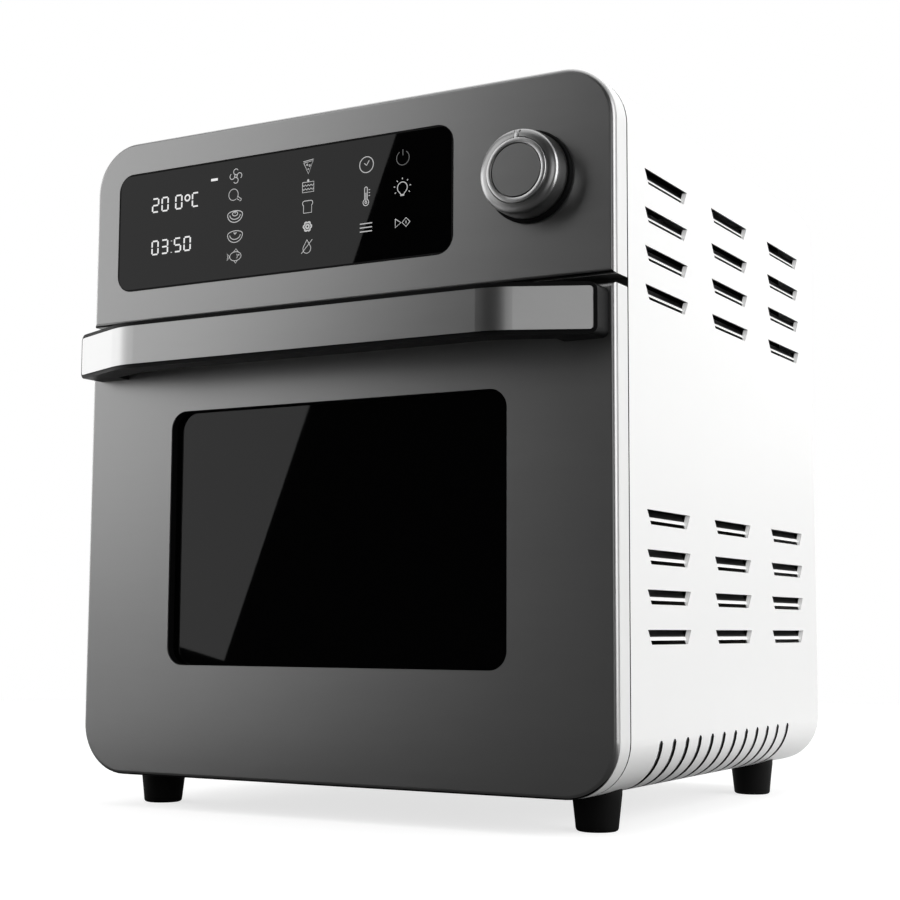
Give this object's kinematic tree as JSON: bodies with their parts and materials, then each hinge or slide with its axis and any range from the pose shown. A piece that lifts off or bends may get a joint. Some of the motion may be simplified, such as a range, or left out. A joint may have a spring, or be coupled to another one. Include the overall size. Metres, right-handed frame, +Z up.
{
  "type": "air fryer oven",
  "caption": "Countertop air fryer oven with louvred shell, drop-down glazed door, bar handle, touch panel and control knob, and an open cavity with rack and trays.",
  "frame": {"origin": "on the table, under the middle of the whole oven with its handle and inlet bush", "axes": "+X to the right of someone facing the door, +Y towards the back, +Z up"},
  "size_m": [0.33, 0.3524, 0.379],
  "materials": {
    "shell_paint": "satin white coat with fine orange peel",
    "white_moulding": "satin white plastic",
    "dark_steel": "dark fine-brushed steel, satin",
    "frame_paint": "matt black coat on sheet steel",
    "handle_steel": "smooth satin steel",
    "inner_steel": "plain sheet steel",
    "black_plastic": "satin black plastic",
    "display_glass": "polished black panel",
    "window_glass": "polished tinted glass",
    "knob_metal": "fine turned aluminium",
    "bright_metal": "polished",
    "rubber": "matt black rubber",
    "silicone": "soft dark silicone",
    "heater_sheath": "dark oxidised metal sheath",
    "rack_wire": "bright plated wire",
    "tray_enamel": "black non-stick coat",
    "screw_steel": "zinc-plated steel",
    "ceramic": "matt white ceramic",
    "circuit_board": "green board with solder mask",
    "motor_metal": "plain metal",
    "wool": "mineral wool",
    "lamp_glass": "clear glass"
  },
  "bodies": {
    "casing": {"body_shell": "shell_paint", "rear_cover": "shell_paint", "base_plate": "inner_steel", "case_screws": "screw_steel", "foot_screws": "screw_steel", "cord_gland": "black_plastic", "feet": "rubber", "front_frame": "frame_paint", "cavity_liner": "inner_steel", "upper_heater": "heater_sheath", "lower_heater": "heater_sheath", "heater_terminals": "ceramic", "heater_clips": "inner_steel", "fan_guard": "inner_steel", "temperature_probe": "bright_metal", "lamp_lens": "lamp_glass", "lamp_housing": "inner_steel", "lamp_bulb": "lamp_glass", "rack_guide_right": "inner_steel", "rack_guide_left": "inner_steel", "insulation": "wool", "motor_bracket": "inner_steel", "fan_motor": "motor_metal", "hinge_bracket_right": "inner_steel", "hinge_bracket_left": "inner_steel", "power_board": "circuit_board", "thermal_cutout": "ceramic", "terminal_block": "ceramic", "panel_plate": "dark_steel", "panel_band": "white_moulding", "display_glass": "display_glass", "display_carrier": "black_plastic", "display_board": "circuit_board", "knob_bezel": "black_plastic", "encoder": "black_plastic"},
    "door": {"door_plate": "dark_steel", "door_band": "white_moulding", "door_inner_panel": "inner_steel", "door_screws": "screw_steel", "window_surround": "black_plastic", "window_glass": "window_glass", "inner_glass": "window_glass", "glass_spacer": "black_plastic", "door_seal": "silicone", "handle_body": "black_plastic", "handle_cover": "handle_steel", "handle_screws": "screw_steel", "hinge_pin_right": "screw_steel", "hinge_pin_left": "screw_steel"},
    "knob": {"knob_body": "knob_metal", "knob_insert": "bright_metal", "knob_shaft": "screw_steel"},
    "fan": {"fan_shaft": "screw_steel", "hot_air_fan": "motor_metal", "cooling_fan": "motor_metal"},
    "wire_rack": {"wire_rack": "rack_wire"},
    "baking_tray": {"baking_tray": "tray_enamel"},
    "crumb_tray": {"crumb_tray": "inner_steel"}
  },
  "joints": [
    {"name": "door_hinge", "type": "hinge", "parent": "casing", "child": "door", "pos_m": [0, -0.13025, 0.0212], "axis": [1, 0, 0], "range_deg": [0, 80]},
    {"name": "knob_turn", "type": "hinge", "parent": "casing", "child": "knob", "pos_m": [0.1193, -0.14175, 0.3256], "axis": [0, 1, 0], "continuous": true},
    {"name": "fan_turn", "type": "hinge", "parent": "casing", "child": "fan", "pos_m": [0, 0.00075, 0.229], "axis": [0, 0, 1], "continuous": true},
    {"name": "rack_slide", "type": "slide", "parent": "casing", "child": "wire_rack", "axis": [0, -1, 0], "range_m": [0, 0.012]},
    {"name": "tray_slide", "type": "slide", "parent": "casing", "child": "baking_tray", "axis": [0, -1, 0], "range_m": [0, 0.012]},
    {"name": "crumb_tray_slide", "type": "slide", "parent": "casing", "child": "crumb_tray", "axis": [0, -1, 0], "range_m": [0, 0.012]}
  ]
}
